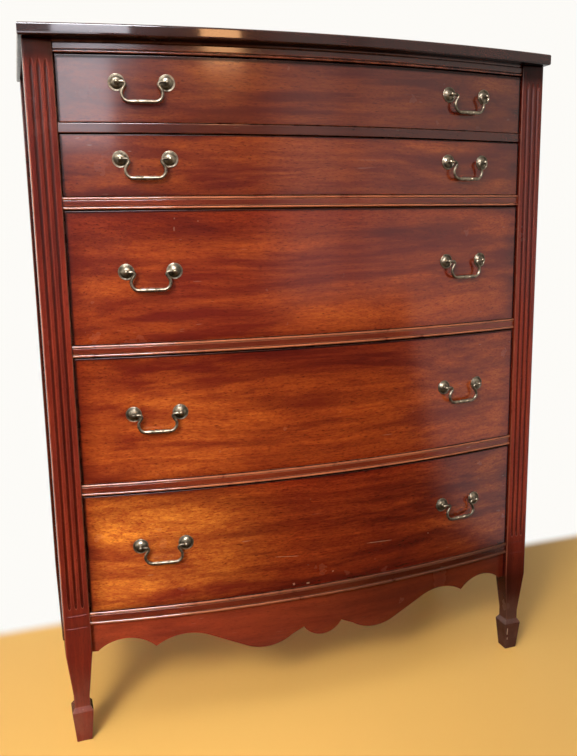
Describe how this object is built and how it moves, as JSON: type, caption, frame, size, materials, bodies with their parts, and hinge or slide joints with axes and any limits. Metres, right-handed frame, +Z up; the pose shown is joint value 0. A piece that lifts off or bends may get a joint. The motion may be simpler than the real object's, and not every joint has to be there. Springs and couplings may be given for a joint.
{
  "type": "chest of drawers",
  "caption": "Bow-front mahogany chest of drawers with fluted corner posts, beaded rails, bail pulls, scalloped apron and tapered legs on spade feet.",
  "frame": {"origin": "middle of the overall width and depth, on the floor under the feet", "axes": "+X to the right as seen from the front, -Y out of the drawer fronts, +Z up"},
  "size_m": [0.925, 0.467, 1.1842],
  "materials": {
    "mahogany": "glossy reddish-brown varnish over straight grain, darker in the corners and worn lighter on the edges",
    "mahogany_top": "very dark polished mahogany",
    "figured_veneer": "glossy varnish over figured reddish veneer with level grain",
    "drawer_wood": "pale unfinished secondary wood",
    "antique_brass": "dull antique brass, darker in the hollows",
    "screw_steel": "plain steel"
  },
  "bodies": {
    "case": {"top_board": "mahogany_top", "left_front_post": "mahogany", "right_front_post": "mahogany", "left_rear_post": "mahogany", "right_rear_post": "mahogany", "left_side_panel": "mahogany", "right_side_panel": "mahogany", "back_panel": "drawer_wood", "back_rails": "drawer_wood", "top_rail": "mahogany", "drawer_rail_1": "mahogany", "drawer_rail_2": "mahogany", "drawer_rail_3": "mahogany", "drawer_rail_4": "mahogany", "bottom_rail": "mahogany", "front_apron": "mahogany", "left_drawer_runners": "drawer_wood", "right_drawer_runners": "drawer_wood", "drawer_stops": "drawer_wood", "top_screws": "screw_steel"},
    "drawer_1": {"drawer_1_front": "figured_veneer", "drawer_1_left_side": "drawer_wood", "drawer_1_right_side": "drawer_wood", "drawer_1_back": "drawer_wood", "drawer_1_bottom": "drawer_wood", "drawer_1_pull_mounts": "antique_brass"},
    "bail_1_left": {"drawer_1_left_bail": "antique_brass"},
    "bail_1_right": {"drawer_1_right_bail": "antique_brass"},
    "drawer_2": {"drawer_2_front": "figured_veneer", "drawer_2_left_side": "drawer_wood", "drawer_2_right_side": "drawer_wood", "drawer_2_back": "drawer_wood", "drawer_2_bottom": "drawer_wood", "drawer_2_pull_mounts": "antique_brass"},
    "bail_2_left": {"drawer_2_left_bail": "antique_brass"},
    "bail_2_right": {"drawer_2_right_bail": "antique_brass"},
    "drawer_3": {"drawer_3_front": "figured_veneer", "drawer_3_left_side": "drawer_wood", "drawer_3_right_side": "drawer_wood", "drawer_3_back": "drawer_wood", "drawer_3_bottom": "drawer_wood", "drawer_3_pull_mounts": "antique_brass"},
    "bail_3_left": {"drawer_3_left_bail": "antique_brass"},
    "bail_3_right": {"drawer_3_right_bail": "antique_brass"},
    "drawer_4": {"drawer_4_front": "figured_veneer", "drawer_4_left_side": "drawer_wood", "drawer_4_right_side": "drawer_wood", "drawer_4_back": "drawer_wood", "drawer_4_bottom": "drawer_wood", "drawer_4_pull_mounts": "antique_brass"},
    "bail_4_left": {"drawer_4_left_bail": "antique_brass"},
    "bail_4_right": {"drawer_4_right_bail": "antique_brass"},
    "drawer_5": {"drawer_5_front": "figured_veneer", "drawer_5_left_side": "drawer_wood", "drawer_5_right_side": "drawer_wood", "drawer_5_back": "drawer_wood", "drawer_5_bottom": "drawer_wood", "drawer_5_pull_mounts": "antique_brass"},
    "bail_5_left": {"drawer_5_left_bail": "antique_brass"},
    "bail_5_right": {"drawer_5_right_bail": "antique_brass"}
  },
  "joints": [
    {"name": "drawer_1_slide", "type": "slide", "parent": "case", "child": "drawer_1", "axis": [0, -1, 0], "range_m": [0, 0.28]},
    {"name": "bail_1_left_swing", "type": "hinge", "parent": "drawer_1", "child": "bail_1_left", "pos_m": [-0.28681, -0.19957, 1.105], "axis": [-0.9907, 0.1359, 0], "range_deg": [-12, 192]},
    {"name": "bail_1_right_swing", "type": "hinge", "parent": "drawer_1", "child": "bail_1_right", "pos_m": [0.28681, -0.19957, 1.105], "axis": [-0.9907, -0.1359, 0], "range_deg": [-12, 192]},
    {"name": "drawer_2_slide", "type": "slide", "parent": "case", "child": "drawer_2", "axis": [0, -1, 0], "range_m": [0, 0.28]},
    {"name": "bail_2_left_swing", "type": "hinge", "parent": "drawer_2", "child": "bail_2_left", "pos_m": [-0.28681, -0.19957, 0.9907], "axis": [-0.9907, 0.1359, 0], "range_deg": [-12, 192]},
    {"name": "bail_2_right_swing", "type": "hinge", "parent": "drawer_2", "child": "bail_2_right", "pos_m": [0.28681, -0.19957, 0.9907], "axis": [-0.9907, -0.1359, 0], "range_deg": [-12, 192]},
    {"name": "drawer_3_slide", "type": "slide", "parent": "case", "child": "drawer_3", "axis": [0, -1, 0], "range_m": [0, 0.28]},
    {"name": "bail_3_left_swing", "type": "hinge", "parent": "drawer_3", "child": "bail_3_left", "pos_m": [-0.28681, -0.19957, 0.81595], "axis": [-0.9907, 0.1359, 0], "range_deg": [-12, 192]},
    {"name": "bail_3_right_swing", "type": "hinge", "parent": "drawer_3", "child": "bail_3_right", "pos_m": [0.28681, -0.19957, 0.81595], "axis": [-0.9907, -0.1359, 0], "range_deg": [-12, 192]},
    {"name": "drawer_4_slide", "type": "slide", "parent": "case", "child": "drawer_4", "axis": [0, -1, 0], "range_m": [0, 0.28]},
    {"name": "bail_4_left_swing", "type": "hinge", "parent": "drawer_4", "child": "bail_4_left", "pos_m": [-0.28681, -0.19957, 0.5825], "axis": [-0.9907, 0.1359, 0], "range_deg": [-12, 192]},
    {"name": "bail_4_right_swing", "type": "hinge", "parent": "drawer_4", "child": "bail_4_right", "pos_m": [0.28681, -0.19957, 0.5825], "axis": [-0.9907, -0.1359, 0], "range_deg": [-12, 192]},
    {"name": "drawer_5_slide", "type": "slide", "parent": "case", "child": "drawer_5", "axis": [0, -1, 0], "range_m": [0, 0.28]},
    {"name": "bail_5_left_swing", "type": "hinge", "parent": "drawer_5", "child": "bail_5_left", "pos_m": [-0.28681, -0.19957, 0.3524], "axis": [-0.9907, 0.1359, 0], "range_deg": [-12, 192]},
    {"name": "bail_5_right_swing", "type": "hinge", "parent": "drawer_5", "child": "bail_5_right", "pos_m": [0.28681, -0.19957, 0.3524], "axis": [-0.9907, -0.1359, 0], "range_deg": [-12, 192]}
  ]
}
